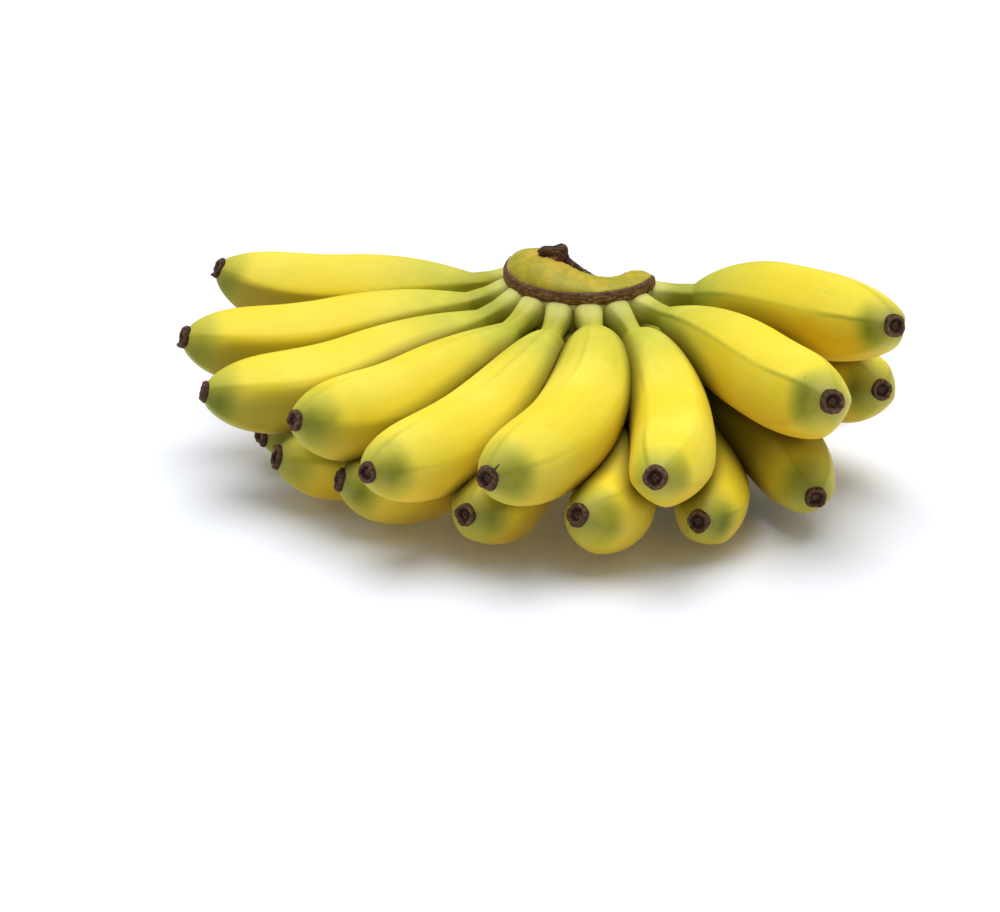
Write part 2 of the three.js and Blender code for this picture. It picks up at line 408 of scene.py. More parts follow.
def makeCrownSkin():
    look = crownLook
    material, tree, skin = newMaterial("crown_skin")
    place = addNode(tree, "ShaderNodeTexCoord").outputs["Object"]
    blotchy = findBlemishes(tree, place, look)
    shade = mixColour(tree, blotchy["Blotches"], colour(look["skin"]), colour(look["green"]))
    shade = mixColour(tree, readAttribute(tree, "orange"), shade, colour(look["orange"]))
    fibres = noiseNode(tree, stretched(tree, place, look["fibreStretch"]), look["fibreScale"], 3.0)
    streaky = mapValue(tree, fibres, *look["fibresAt"])
    wall = mixColour(tree, streaky, colour(look["pale"]), colour(look["wall"]))
    shade = mixColour(tree, readAttribute(tree, "pale"), shade, wall)
    specks = mathNode(tree, "MULTIPLY", blotchy["Specks"], look["speckShare"])
    shade = mixColour(tree, specks, shade, colour(look["speck"]))
    tree.links.new(shade, skin.inputs["Base Color"])
    skin.inputs["Roughness"].default_value = look["roughness"]
    skin.inputs["Specular IOR Level"].default_value = look["specular"]
    bumpUp(tree, skin, noiseNode(tree, place, look["creaseScale"], 3.0), *look["bump"])
    return material


peelMaterial = makePeelMaterial()
blossomMaterial = makeBlossomMaterial()
crownMaterial = makeCrownSkin()
bandMaterial = makeBarkMaterial("scar_band_cork")
tornMaterial = makeBarkMaterial("torn_stem_fibres")
cutMaterial = makeBarkMaterial("dried_cut_face")
print("materials made")


def addPiece(name, bm, material, node=None):
    bmesh.ops.recalc_face_normals(bm, faces=bm.faces)
    mesh = bpy.data.meshes.new(name)
    bm.to_mesh(mesh)
    bm.free()
    mesh.shade_smooth()
    mesh.materials.append(material)
    piece = bpy.data.objects.new(name, mesh)
    bpy.context.scene.collection.objects.link(piece)
    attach(piece, "root")
    if node:
        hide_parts(node)
    return piece


# The crown that all the stalks grow from, in millimetres and in degrees round its axis.
crown = {
    "axis": (18, 53.5),
    "wall": 26.6,
    "foot": 31,
    "bandRadius": 27.7,
    "bandFoot": 54.7,
    "bandTop": 59.6,
    "cushionLow": 60.4,
    "cushionRise": 5.6,
    "cut": 11,
    "cutNarrowing": 7,
    "start": -127,
    "end": 80,
    "endLength": 12,
    "endSize": 0.35,
    "middleDrop": 6,
    "rootRadius": 27,
}


def aroundCrown(azimuth, radius, height):
    a = math.radians(azimuth)
    x, y = crown["axis"]
    return Vector((x + math.sin(a) * radius, y - math.cos(a) * radius, height)) * mm


# The cushion is highest over its left end.
def cushionTop(azimuth):
    rise = fade(-azimuth, -40, 60) - 0.4 * fade(-azimuth, 75, 120)
    return crown["cushionLow"] + crown["cushionRise"] * rise


def cutRadius(azimuth):
    return crown["cut"] + crown["cutNarrowing"] * fade(azimuth, -10, 70)


# Towards both ends the crown's section shrinks round its middle.
def shrinkAtEnds(azimuth, across, height):
    fromEnd = min(azimuth - crown["start"], crown["end"] - azimuth) / crown["endLength"]
    rounded = math.sqrt(max(1 - (1 - min(max(fromEnd, 0), 1)) ** 2, 0))
    fullness = crown["endSize"] + (1 - crown["endSize"]) * rounded
    radius = (crown["wall"] + cutRadius(azimuth)) / 2
    middle = crown["bandFoot"] - crown["middleDrop"]
    return radius + (across - radius) * fullness, middle + (height - middle) * fullness


# Spins a closed outline of (outward, up) shares round the crown's axis. The shift keeps the outline
# clear of the axis until its points get their real places.
def spinAroundCrown(outline, shift, steps):
    bm = bmesh.new()
    centre = aroundCrown(0, 0, 0)
    turned = math.radians(crown["end"] - crown["start"])
    verts = [bm.verts.new(aroundCrown(crown["start"], out + shift, up)) for out, up in outline]
    edges = [bm.edges.new((verts[i - 1], verts[i])) for i in range(len(verts))]
    bmesh.ops.spin(bm, geom=verts + edges, cent=centre, axis=(0, 0, 1), angle=turned, steps=steps)
    boundary = [edge for edge in bm.edges if edge.is_boundary]
    bmesh.ops.holes_fill(bm, edges=boundary, sides=0)
    return bm


# Azimuth and the two shares of a point on a spun outline.
def outlinePlace(vert, shift):
    x = vert.co.x / mm - crown["axis"][0]
    y = vert.co.y / mm - crown["axis"][1]
    return math.degrees(math.atan2(x, -y)), math.hypot(x, y) - shift, vert.co.z / mm


# The cushion's outline runs inward from the wall to the cut, and up from the scar band to the
# cushion's top, or down from it to the crown's foot.
cushion = {
    "outline": [
        (0.87, -1), (0.5, -1), (0.19, -1), (0.06, -0.97), (0, -0.86), (0, -0.6), (-0.02, -0.34),
        (-0.06, -0.27), (-0.085, -0.22), (-0.075, -0.17), (-0.03, -0.14), (0, -0.02), (0.02, 0.12),
        (0.07, 0.32), (0.14, 0.52), (0.23, 0.7), (0.34, 0.85), (0.46, 0.95), (0.6, 1), (0.74, 1.01),
        (0.86, 0.98), (0.94, 0.9), (0.985, 0.74), (1, 0.4), (1.02, -0.1), (1.05, -0.5), (0.97, -0.85),
    ],
    "shift": 1,
    "steps": 120,
    "creaseHeight": 0.5,
    "bumpHeight": 0.5,
    "orange": 0.85,
    "orangeAt": -50,
}


def makeCushion():
    bm = spinAroundCrown(cushion["outline"], cushion["shift"], cushion["steps"])
    orange = bm.verts.layers.float.new("orange")
    pale = bm.verts.layers.float.new("pale")
    wall = crown["wall"]
    base = crown["bandTop"]
    for vert in bm.verts:
        azimuth, inward, up = outlinePlace(vert, cushion["shift"])
        across = wall + inward * (cutRadius(azimuth) - wall)
        height = base + up * (cushionTop(azimuth) - base if up > 0 else base - crown["foot"])
        across, height = shrinkAtEnds(azimuth, across, height)
        if up > 0.05:  # soft creases that run in from the band, and low bumps
            crease = noise.noise(Vector((azimuth * 0.16, inward * 1.3, 3)))
            bump = noise.noise(Vector((azimuth * 0.05, inward * 2.5, 9)))
            relief = crease * cushion["creaseHeight"] + bump * cushion["bumpHeight"]
            height += relief * math.sin(math.pi * min(inward, 1)) ** 0.5
        vert.co = aroundCrown(azimuth, across, height)
        nearTorn = fade(-abs(azimuth - cushion["orangeAt"]), -55, -5) * fade(inward, 0.35, 0.95)
        vert[orange] = cushion["orange"] * nearTorn
        vert[pale] = fade(-up, 0.0, 0.12)
    addPiece("crown_cushion", bm, crownMaterial, "crown")


# The band's outline: how proud it stands of the wall, and how high it is.
band = {
    "outline": [
        (0, 0), (0.6, 0.02), (0.9, 0.12), (1, 0.3), (1.04, 0.5), (1, 0.7), (0.88, 0.86), (0.6, 0.97),
        (0, 1), (-0.8, 0.5),
    ],
    "shift": 2,
    "steps": 260,
    "inset": 0.3,
    "corkOut": 0.22,
    "corkUp": 0.08,
    "ragged": 0.4,
    "edgeShare": 0.8,
}


def makeBand():
    bm = spinAroundCrown(band["outline"], band["shift"], band["steps"])
    unbent = bm.verts.layers.float_vector.new("unbent")
    edge = bm.verts.layers.float.new("edge")
    inner = crown["wall"] - band["inset"]
    foot = crown["bandFoot"]
    for vert in bm.verts:
        azimuth, proud, up = outlinePlace(vert, band["shift"])
        cork = noise.noise(Vector((azimuth * 0.2, up * 2.2, 1)))
        cork += 0.4 * noise.noise(Vector((azimuth * 0.7, up * 5, 4)))
        ragged = noise.noise(Vector((azimuth * 0.3, 8, 2)))
        across = inner + proud * (crown["bandRadius"] - inner) + band["corkOut"] * cork
        height = foot + up * (crown["bandTop"] - foot)
        height += (up - 0.5) * band["ragged"] * ragged + band["corkUp"] * cork
        across, height = shrinkAtEnds(azimuth, across, height)
        vert.co = aroundCrown(azimuth, across, height)
        vert[unbent] = Vector((math.radians(azimuth) * crown["wall"], across, height)) * mm
        vert[edge] = band["edgeShare"] * fade(abs(up - 0.5), 0.22, 0.45)
    addPiece("crown_scar_band", bm, bandMaterial)


# The dried face where the crown was cut off: outward through its skin, and up.
cutFace = {
    "outline": [
        (1, 0), (1, 0.25), (1, 0.5), (1, 0.75), (1, 1),
        (0, 1.04), (0, 0.75), (0, 0.5), (0, 0.25), (0, 0),
    ],
    "shift": 2,
    "steps": 160,
    "proud": 1.5,
    "thick": 1.9,
    "aboveFoot": 3,
    "belowTop": 2,
    "rimHeight": 1.4,
    "rimAt": -20,
    "raggedAcross": 0.25,
    "raggedUp": 0.3,
}


def makeCutFace():
    bm = spinAroundCrown(cutFace["outline"], cutFace["shift"], cutFace["steps"])
    unbent = bm.verts.layers.float_vector.new("unbent")
    foot = crown["foot"] + cutFace["aboveFoot"]
    for vert in bm.verts:
        azimuth, outward, up = outlinePlace(vert, cutFace["shift"])
        cut = cutRadius(azimuth)
        ragged = noise.noise(Vector((azimuth * 0.4, outward * 2, up * 3)))
        ragged += 0.5 * noise.noise(Vector((azimuth * 1.3, up * 8, 5)))
        # A thin dry rim stands up beside the torn piece.
        rim = fade(-abs(azimuth - cutFace["rimAt"]), -56, -28) * (1 - azimuth / 60)
        rise = cushionTop(azimuth) - cutFace["belowTop"] - foot + cutFace["rimHeight"] * rim
        height = foot + up * rise + cutFace["raggedUp"] * ragged * up
        across = cut - cutFace["proud"] + outward * cutFace["thick"] + cutFace["raggedAcross"] * ragged
        across, height = shrinkAtEnds(azimuth, across, height)
        vert.co = aroundCrown(azimuth, across, height)
        vert[unbent] = Vector((math.radians(azimuth) * cut, across, height)) * mm
    addPiece("crown_cut_face", bm, cutMaterial)


# The dried piece of stem torn off with the crown, at its inner edge.
tornStem = {
    "size": 4.6,
    "core": 0.9,
    "fibres": 0.1,
    "lumps": 0.22,
    "crumbs": 0.04,
    "place": (-55, 12.5, 65.7),
    "stretch": (1.18, 0.8, 1.15),
    "turn": -20,
}


def makeTornStem():
    bm = bmesh.new()
    torn = tornStem
    bmesh.ops.create_icosphere(bm, subdivisions=5, radius=torn["size"] * mm)
    unbent = bm.verts.layers.float_vector.new("unbent")
    for vert in bm.verts:
        way = vert.co.normalized()
        fibres = noise.noise(Vector((way.x * 1.5, way.y * 6, way.z * 6)))
        lumps = noise.noise(way * 1.3 + Vector((4, 1, 7)))
        crumbs = noise.noise(way * 9)
        box = 1 / (abs(way.x) ** 4 + abs(way.y) ** 4 + abs(way.z) ** 4) ** 0.25
        size = torn["core"] + torn["fibres"] * fibres + torn["lumps"] * lumps + torn["crumbs"] * crumbs
        vert.co *= box * size
        vert.co.y *= 0.72 + 0.28 * way.x  # it narrows to the left
        vert.co.z *= 0.8 + 0.2 * way.x
        vert[unbent] = vert.co.copy()
    turned = Matrix.Rotation(math.radians(torn["turn"]), 3, "Z")
    bmesh.ops.scale(bm, vec=torn["stretch"], verts=bm.verts)
    bmesh.ops.rotate(bm, cent=(0, 0, 0), matrix=turned, verts=bm.verts)
    bmesh.ops.translate(bm, vec=aroundCrown(*torn["place"]), verts=bm.verts)
    addPiece("crown_torn_stem", bm, tornMaterial)


makeCushion()
makeBand()
makeCutFace()
makeTornStem()
print("crown made")

# What all fingers share, in millimetres and in shares of the length. The root end's pairs are how
# deep inside the crown a ring lies and its half thickness.
banana = {
    "rootEnd": ((5, 1.7), (4.7, 3), (4, 4), (2.6, 4.8), (1.2, 5.2)),
    "rootBox": 0.97,
    "rootBoxOver": (0.02, 0.1),
    "rootHalf": 5.3,
    "stalkHalf": 4.2,
    "bellyHalf": 15.2,
    "endHalf": 4.2,
    "blossomHalf": 3.5,
    "blossomLength": 2,
    "blossomCover": 0.4,
    "flareShare": 0.08,
    "stalkShare": 0.12,
    "restShare": 0.54,
    "endRoundness": 0.84,
    "curvePull": 0.36,
    "curveSteps": 160,
    "ridges": 5,
    "ridgeSharpness": 0.36,
    "ridgeRounding": 5,
    "facetReach": 1.05,
    "sides": 80,
    "rings": 96,
    "ringBunching": 0.35,
    "gap": 0.15,
    "pressedFrom": (0.1, 0.2),
    "thinnest": 0.2,
    # How far the painted contact shade reaches, in millimetres.
    "contactShadeReach": 7,
    "upperRoot": 50.7,
    "lowerRoot": 39,
}

# What a finger has unless its own entry below says otherwise.
usualFinger = {
    "girth": 1,
    "neck": 1,  # length of its stalk
    "ease": 0.58,  # how slowly it thickens after the stalk
    "belly": 0.54,  # where along its length it is thickest
    "fullness": 5,  # how blunt its end is
    "crisp": 1,  # how sharp its ridges are
    "turn": 0,  # where its first ridge stands, in degrees round the finger
    "rests": False,  # its outer part lies on the floor
    "bristle": False,  # a dried thread sticks out of its blossom end
    "line": 0.6,  # how green its ridges are
    "middle": 0.12,  # how much of that green is left half way along
    "lineAt": None,  # its greenest ridge, in degrees round the finger
    "others": 0.2,  # share of that green on its other ridges
    "patch": -80,  # side of its green tip mark, which is partly painted shade, in degrees round the finger
    "sage": 0.6,  # grey green at the very tip
    "dark": 0,  # painted shade: olive on its underside
    "neckShade": 0,  # painted shade: olive at its stalk, where other fingers shade it
    "neckShadeTo": 0.55,  # where along its length that painted neck shade ends
}

# Each finger as on the crown: azimuth of its root, azimuth and pitch of its heading as it leaves the
# crown, place of its tip from the crown's axis, heading at the tip, and what is its own.
upperFingers = [
    {"root": -108, "out": (-95, -5), "tip": (-132.6, 18, 52.8), "end": (-84, 32), "fullness": 4,
     "turn": 4, "crisp": 1.8, "line": 0.2, "patch": -100, "sage": 0.25, "dark": 0.72},
    {"root": -82, "out": (-76, -10), "tip": (-139.4, -33, 46), "end": (-78, 22), "girth": 0.99,
     "turn": 16, "crisp": 1.9, "line": 0.2, "patch": -100, "sage": 0.25, "dark": 0.78},
    {"root": -60, "out": (-62, -16), "tip": (-128.6, -69, 40.8), "end": (-76, 17),
     "turn": 18, "crisp": 1.9, "line": 0.2, "patch": -100, "sage": 0.25, "dark": 0.64},
    {"root": -40, "out": (-40, -20), "tip": (-96.1, -96, 42.3), "end": (-56, 18), "girth": 1.03,
     "turn": -3, "crisp": 0.7, "line": 0.4, "sage": 0.3, "dark": 0.36},
    {"root": -18, "out": (-15, -21), "tip": (-71.4, -124, 36.7), "end": (-45, 11), "girth": 0.97,
     "neck": 0.85, "ease": 0.4, "crisp": 0.6, "line": 0.4, "sage": 0.4},
    {"root": 4, "out": (9, -20), "tip": (-33.5, -134, 39.4), "end": (-43, 8), "neck": 0.75,
     "ease": 0.32, "turn": 15, "crisp": 0.6, "line": 0.4, "sage": 0.4, "dark": 0.15, "bristle": True},
    {"root": 26, "out": (34, -24), "tip": (18.5, -138, 41.8), "end": (-19, 22), "girth": 0.96,
     "neck": 0.85, "ease": 0.36, "belly": 0.48, "fullness": 4.2, "turn": -24, "crisp": 1.2,
     "line": 0.7, "middle": 0.4, "lineAt": 48},
    {"root": 48, "out": (52, -4), "tip": (75.2, -118, 58.5), "end": (19, 24), "neck": 0.85,
     "ease": 0.52, "turn": 49, "crisp": 1.4, "line": 1, "middle": 0.4, "lineAt": 49, "patch": 80,
     "dark": 0.06},
    {"root": 75, "out": (88, 4), "tip": (98.4, -88, 72), "end": (25, 21), "girth": 1.03,
     "neck": 1.05, "ease": 0.48, "belly": 0.46, "fullness": 3.8, "turn": -10, "crisp": 1.4,
     "line": 1, "middle": 0.4, "lineAt": 62, "others": 0.4, "patch": 80, "dark": 0.1},
]
lowerFingers = [
    {"root": -95, "out": (-62, -42), "tip": (-113, -45, 14), "end": (-65, 4), "girth": 0.9,
     "rests": True, "neckShade": 0.5},
    {"root": -70, "out": (-28, -50), "tip": (-104.6, -76.5, 17.2), "end": (-76, 17),
     "rests": True, "turn": 10, "neckShade": 0.5},
    {"root": -48, "out": (-6, -52), "tip": (-82.4, -95.5, 18.6), "end": (-80, 18),
     "rests": True, "turn": -8, "neckShade": 0.5},
    {"root": -28, "out": (-6, -48), "tip": (-40.6, -119, 19), "end": (-36, 17), "girth": 0.97,
     "rests": True, "turn": 5, "neckShade": 0.6},
    {"root": -7, "out": (26, -48), "tip": (-5.2, -126.5, 20), "end": (-50, 30), "girth": 0.94,
     "rests": True, "turn": -28, "crisp": 0.5, "neckShade": 0.7},
    {"root": 20, "out": (68, -24), "tip": (34, -119, 26.3), "end": (-26, 18), "girth": 0.87,
     "rests": True, "turn": 12, "neckShade": 0.85, "neckShadeTo": 0.9},
    {"root": 37, "out": (66, -3), "tip": (74, -103, 17.4), "end": (12, 0), "girth": 0.95,
     "turn": -30, "patch": 60, "neckShade": 1, "neckShadeTo": 1.1},
    {"root": 62, "out": (80, -13), "tip": (100, -64, 39), "end": (18, 18), "girth": 0.95,
     "neck": 0.8, "turn": 20, "patch": 80, "neckShade": 0.5},
    {"root": 79, "out": (98, -34), "tip": (99, 4, 23), "end": (84, 24), "girth": 0.95,
     "neck": 0.8, "rests": True, "neckShade": 0.3},
]


# A finger's curved middle line, as a function that gives centre, tangent and upward at a length.
def makeSpine(finger, rootHeight):
    root = aroundCrown(finger["root"], crown["rootRadius"], rootHeight)
    tip = aroundCrown(0, 0, 0) + Vector(finger["tip"]) * mm
    pull = (tip - root).length * banana["curvePull"]
    leaving = root + heading(*finger["out"]) * pull
    arriving = tip - heading(*finger["end"]) * pull
    points = interpolate_bezier(root, leaving, arriving, tip, banana["curveSteps"])
    upward = Vector((0, 0, 1))
    lengths = [0]
    frames = []
    for i, point in enumerate(points):
        tangent = (points[min(i + 1, len(points) - 1)] - points[max(i - 1, 0)]).normalized()
        upward = (upward - tangent * upward.dot(tangent)).normalized()
        frames.append((point, tangent, upward.copy()))
        if i:
            lengths.append(lengths[-1] + (point - points[i - 1]).length)

    def at(length):
        i = min(max(bisect_right(lengths, length) - 1, 0), len(points) - 2)
        share = (length - lengths[i]) / (lengths[i + 1] - lengths[i])
        bent = min(max(share, 0), 1)
        centre = frames[i][0].lerp(frames[i + 1][0], share)
        tangent = frames[i][1].lerp(frames[i + 1][1], bent).normalized()
        up = frames[i][2].lerp(frames[i + 1][2], bent).normalized()
        return centre, tangent, up

    return at, lengths[-1]


def halfThickness(share, finger):
    b = banana
    stalkEnd = b["stalkShare"] * finger["neck"]
    belly = finger["belly"]
    flare = max(1 - share / b["flareShare"], 0) ** 2 * (b["rootHalf"] - b["stalkHalf"])
    shoulder = min(max((share - stalkEnd) / (belly - stalkEnd), 0), 1)
    body = smoothStep(shoulder ** finger["ease"])
    past = max((share - belly) / (1 - belly), 0)
    taper = max(1 - past ** finger["fullness"], 0) ** b["endRoundness"]
    end = b["endHalf"] - b["stalkHalf"] + taper * (b["bellyHalf"] - b["endHalf"])
    return (b["stalkHalf"] + flare + body * end) * finger["girth"]


# Distance in degrees from the nearest ridge, for an angle round the finger.
def ridgeAway(angle, finger):
    facet = 360 / banana["ridges"]
    turned = (angle - finger["turn"] + facet / 2) % facet - facet / 2
    return abs(turned)


def sectionReach(angle, share, finger):
    facet = 360 / banana["ridges"]
    away = math.hypot(ridgeAway(angle, finger), banana["ridgeRounding"])
    across = math.radians(facet / 2 - away)
    sharpness = banana["ridgeSharpness"] * finger["crisp"]
    flat = math.cos(math.radians(facet / 2)) / math.cos(across)
    reach = (1 - sharpness) + sharpness * flat * banana["facetReach"]
    # At the root the stalk is a flat-topped box that meets its neighbours.
    a = math.radians(angle)
    box = banana["rootBox"] / (abs(math.cos(a)) ** 3 + abs(math.sin(a)) ** 3) ** (1 / 3)
    rooted = 1 - fade(share, *banana["rootBoxOver"])
    return reach + (box - reach) * rooted


# Extrudes a ring of edges along +Z, one ring for each length, and closes both ends.
def makeTube(sides, lengths, reachAt):
    bm = bmesh.new()
    unbent = bm.verts.layers.float_vector.new("unbent")
    bmesh.ops.create_circle(bm, cap_ends=True, segments=sides, radius=1)
    ring = list(bm.verts)
    edges = list(bm.edges)
    for number, length in enumerate(lengths):
        if number:
            grown = bmesh.ops.extrude_edge_only(bm, edges=edges)["geom"]
            ring = [part for part in grown if isinstance(part, bmesh.types.BMVert)]
            fresh = set(ring)
            edges = [part for part in grown if isinstance(part, bmesh.types.BMEdge)]
            edges = [edge for edge in edges if fresh.issuperset(edge.verts)]
        for vert in ring:
            angle = math.atan2(vert.co.y, vert.co.x)
            reach = reachAt(number, math.degrees(angle))
            vert.co = (math.cos(angle) * reach, math.sin(angle) * reach, length)
            vert[unbent] = vert.co
    bmesh.ops.edgeloop_fill(bm, edges=edges)
    return bm


def bendAlong(bm, spineAt):
    for vert in bm.verts:
        x, y, length = vert.co
        centre, tangent, upward = spineAt(length)
        side = tangent.cross(upward)
        vert.co = centre + upward * x + side * y


# Where a finger would lie inside an earlier one, its skin is pressed back towards its own middle.
def pressBack(bm, spineAt, bodyLength, pressing):
    unbent = bm.verts.layers.float_vector["unbent"]
    gap = banana["gap"] * mm
    for vert in bm.verts:
        x, y, length = vert[unbent]
        weight = fade(length / bodyLength, *banana["pressedFrom"])
        if weight == 0:
            continue
        centre, tangent, upward = spineAt(length)
        centre = vert.co - upward * x - tangent.cross(upward) * y
        way = (vert.co - centre).normalized()
        reach = (vert.co - centre).length
        for tree in pressing:
            hit, normal, face, distance = tree.ray_cast(centre, way, reach + gap)
            if hit is not None and normal.dot(way) < 0:
                reach = min(reach, max(distance - gap, banana["thinnest"] * reach))
        vert.co = vert.co.lerp(centre + way * reach, weight)


# Where the peel's colours lie: strengths, then shares of the length from the root, millimetres from
# the tip, or how far the skin faces down or up.
paint = {
    "neck": 0.94,
    "neckOver": (0.12, 0.58),
    "collar": 0.6,
    "collarOver": (3, 13),
    # Pale stalk root: partly its own colour, partly painted highlight.
    "paleRootAndHighlight": 0.75,
    "paleRootAndHighlightOver": (0.0, 0.075),
    "stalk": 0.3,
    "tip": 0.12,
    # The green patch near the tip is partly painted shade on one side of it.
    "tipPatchGreenAndShade": 0.68,
    "tipOver": (3, 11.5),
    "sageOver": (0.4, 4.5),
    # Painted olive shade at the necks of fingers that others shade.
    "neckShadeFade": 0.4,
    "ridgeEnds": 0.6,
    "ridgeNear": 36,
    # Where along the length painted contact shade may go.
    "contactShadeFrom": (0.03, 0.14),
    # Painted warm shade and painted olive shade on the skin that faces down.
    "warmShade": 0.7,
    "warmShadeFacing": (-0.35, 0.45),
    "underShadeFacing": (-0.34, -0.06),
    "ridgeFacing": (-0.1, 0.4),
    "marks": (
        "warmShade", "oliveShade", "contactShade", "neckGreen", "ridgeMark", "fromRidge", "tipGreen", "sage", "paleRootAndHighlight",
    ),
}


# How green a ridge is: most near both ends of the finger.
def ridgeGreen(finger, angle, share):
    ends = max(1 - fade(share, 0.2, 0.75), fade(share, 0.7, 0.95))
    green = finger["line"] * (finger["middle"] + paint["ridgeEnds"] * ends)
    if finger["lineAt"] is not None and abs(angle - finger["lineAt"]) > paint["ridgeNear"]:
        green *= finger["others"]
    return green


# Marks the colours that follow the finger's length, while it is still straight.
def paintAlong(bm, layers, finger, bodyLength):
    for vert in bm.verts:
        x, y, length = vert.co
        share = length / bodyLength
        fromTip = (bodyLength - length) / mm
        angle = math.degrees(math.atan2(y, x))
        facing = (1 + math.cos(math.radians(angle - finger["patch"]))) / 2
        neck = paint["neck"] * (1 - fade(share, *paint["neckOver"])) ** 1.3
        collar = paint["collar"] * (1 - fade(fromTip, *paint["collarOver"]))
        vert[layers["neckGreen"]] = max(neck, collar)
        # The pale root is partly its own colour and partly painted highlight; fingers with painted neck
        # shade get none.
        pale = 0 if finger["neckShade"] else paint["paleRootAndHighlight"]
        vert[layers["paleRootAndHighlight"]] = pale * (1 - fade(share, *paint["paleRootAndHighlightOver"]))
        stalk = paint["stalk"] * fade(share, 0.0, 0.07) * (1 - fade(share, 0.1, 0.2))
        # The green tip is the skin's own colour; the stronger patch on one side is partly painted
        # shade.
        tip = (1 - fade(fromTip, *paint["tipOver"])) * (paint["tip"] + paint["tipPatchGreenAndShade"] * facing ** 4)
        vert[layers["tipGreen"]] = max(stalk, tip)
        vert[layers["sage"]] = finger["sage"] * (1 - fade(fromTip, *paint["sageOver"]))
        # Painted olive shade at the neck of a finger that others shade.
        neckShadeTo = finger["neckShadeTo"]
        dark = 1 - fade(share, neckShadeTo - paint["neckShadeFade"], neckShadeTo)
        vert[layers["oliveShade"]] = finger["neckShade"] * dark
        vert[layers["fromRidge"]] = math.radians(ridgeAway(angle, finger)) * math.hypot(x, y)
        vert[layers["ridgeMark"]] = ridgeGreen(finger, angle, share)
        # Painted contact shade goes only past the stalk; how near other fingers lie sets its strength
        # later.
        vert[layers["contactShade"]] = fade(share, *paint["contactShadeFrom"])


# Paints shade by how far the skin of the bent finger faces down or up: painted warm shade and painted
# olive shade underneath, and fewer green ridge lines there.
def paintShadeByFacing(bm, layers, finger):
    for vert in bm.verts:
        down = -vert.normal.z
        vert[layers["warmShade"]] = paint["warmShade"] * fade(down, *paint["warmShadeFacing"])
        underneath = finger["dark"] * fade(down, *paint["underShadeFacing"])
        vert[layers["oliveShade"]] = max(vert[layers["oliveShade"]], underneath)
        vert[layers["ridgeMark"]] *= fade(vert.normal.z, *paint["ridgeFacing"])


# Sinks a finger's outer part until its lowest point lies on the floor, and returns how far.
def layDown(bm, bodyLength):
    unbent = bm.verts.layers.float_vector["unbent"]
    drop = min(vert.co.z for vert in bm.verts)
    for vert in bm.verts:
        vert.co.z -= drop * smoothStep(vert[unbent].z / bodyLength / banana["restShare"])
    return drop


def makePeel(name, number, finger, rootHeight, pressing):
    spineAt, total = makeSpine(finger, rootHeight)
    bodyLength = total - banana["blossomLength"] * mm
    rings = banana["rings"]
    bunching = banana["ringBunching"]  # sets the rings closer at both ends
    shares = [i / rings for i in range(rings + 1)]
    shares = [share - bunching * math.sin(2 * math.pi * share) / (2 * math.pi) for share in shares]
    inside = banana["rootEnd"]
    lengths = [-deep * mm for deep, half in inside] + [share * bodyLength for share in shares]
    lengths.append(bodyLength + banana["blossomCover"] * mm)
    halves = [half for deep, half in inside] + [halfThickness(share, finger) for share in shares]
    halves.append(banana["blossomHalf"])
    places = [0] * len(inside) + shares + [1]

    def reachAt(ring, angle):
        return halves[ring] * sectionReach(angle, places[ring], finger) * mm

    bm = makeTube(banana["sides"], lengths, reachAt)
    unbent = bm.verts.layers.float_vector["unbent"]
    layers = {key: bm.verts.layers.float.new(key) for key in paint["marks"]}
    paintAlong(bm, layers, finger, bodyLength)
    bendAlong(bm, spineAt)
    drop = layDown(bm, bodyLength) if finger["rests"] else 0
    bm.normal_update()
    bmesh.ops.recalc_face_normals(bm, faces=bm.faces)
    paintShadeByFacing(bm, layers, finger)
    pressBack(bm, spineAt, bodyLength, pressing)
    pressing.append(BVHTree.FromBMesh(bm))
    # Each finger takes its skin's noise from another place.
    for vert in bm.verts:
        vert[unbent] = vert[unbent] + Vector((0.3 * number, 0, 0))
    peels.append(addPiece(name + "_peel", bm, peelMaterial, name))
    return spineAt, bodyLength, drop


# The dried blossom end: a ragged rim round a dark pit. Rows are (length, half, rim) in millimetres.
blossom = {
    "outline": [
        (-1.2, 2.9, 0), (-0.1, 3.65, 0), (0.4, 3.8, 0.1), (0.9, 3.75, 0.2), (1.4, 3.6, 0.45),
        (1.8, 3.4, 0.7), (2.0, 3.0, 1), (1.85, 2.6, 0.8), (1.3, 2.25, 0.2), (0.7, 1.9, 0),
        (0.5, 1.45, 0.1), (0.9, 1.05, 0.5), (1.0, 0.65, 0.7), (0.7, 0.3, 0.2),
    ],
    "sides": 44,
    "squareness": 3.2,
    "roughness": 0.08,
    "ragged": 0.34,
    "wave": 0.9,
    "leanFrom": 1.3,
    "bristle": (3.0, 0.5, 4.4),  # how far out it starts, its half thickness and its length
}


# A stiff dried thread that sticks out at the side of one blossom end.
def addBristle(bm, bodyLength, layers):
    out, thick, long = [size * mm for size in blossom["bristle"]]
    way = Vector((0.85, -0.5, -0.05)).normalized()
    turned = Vector((0, 0, 1)).rotation_difference(way).to_matrix().to_4x4()
    place = Matrix.Translation(Vector((0, 0, bodyLength + 1.4 * mm)) + way * (out + long / 2)) @ turned
    made = bmesh.ops.create_cone(bm, cap_ends=True, segments=10, radius1=thick, radius2=thick * 0.3,
                                 depth=long, matrix=place)
    for vert in made["verts"]:
        vert[layers["rim"]] = 0.3
        vert[layers["unbent"]] = vert.co


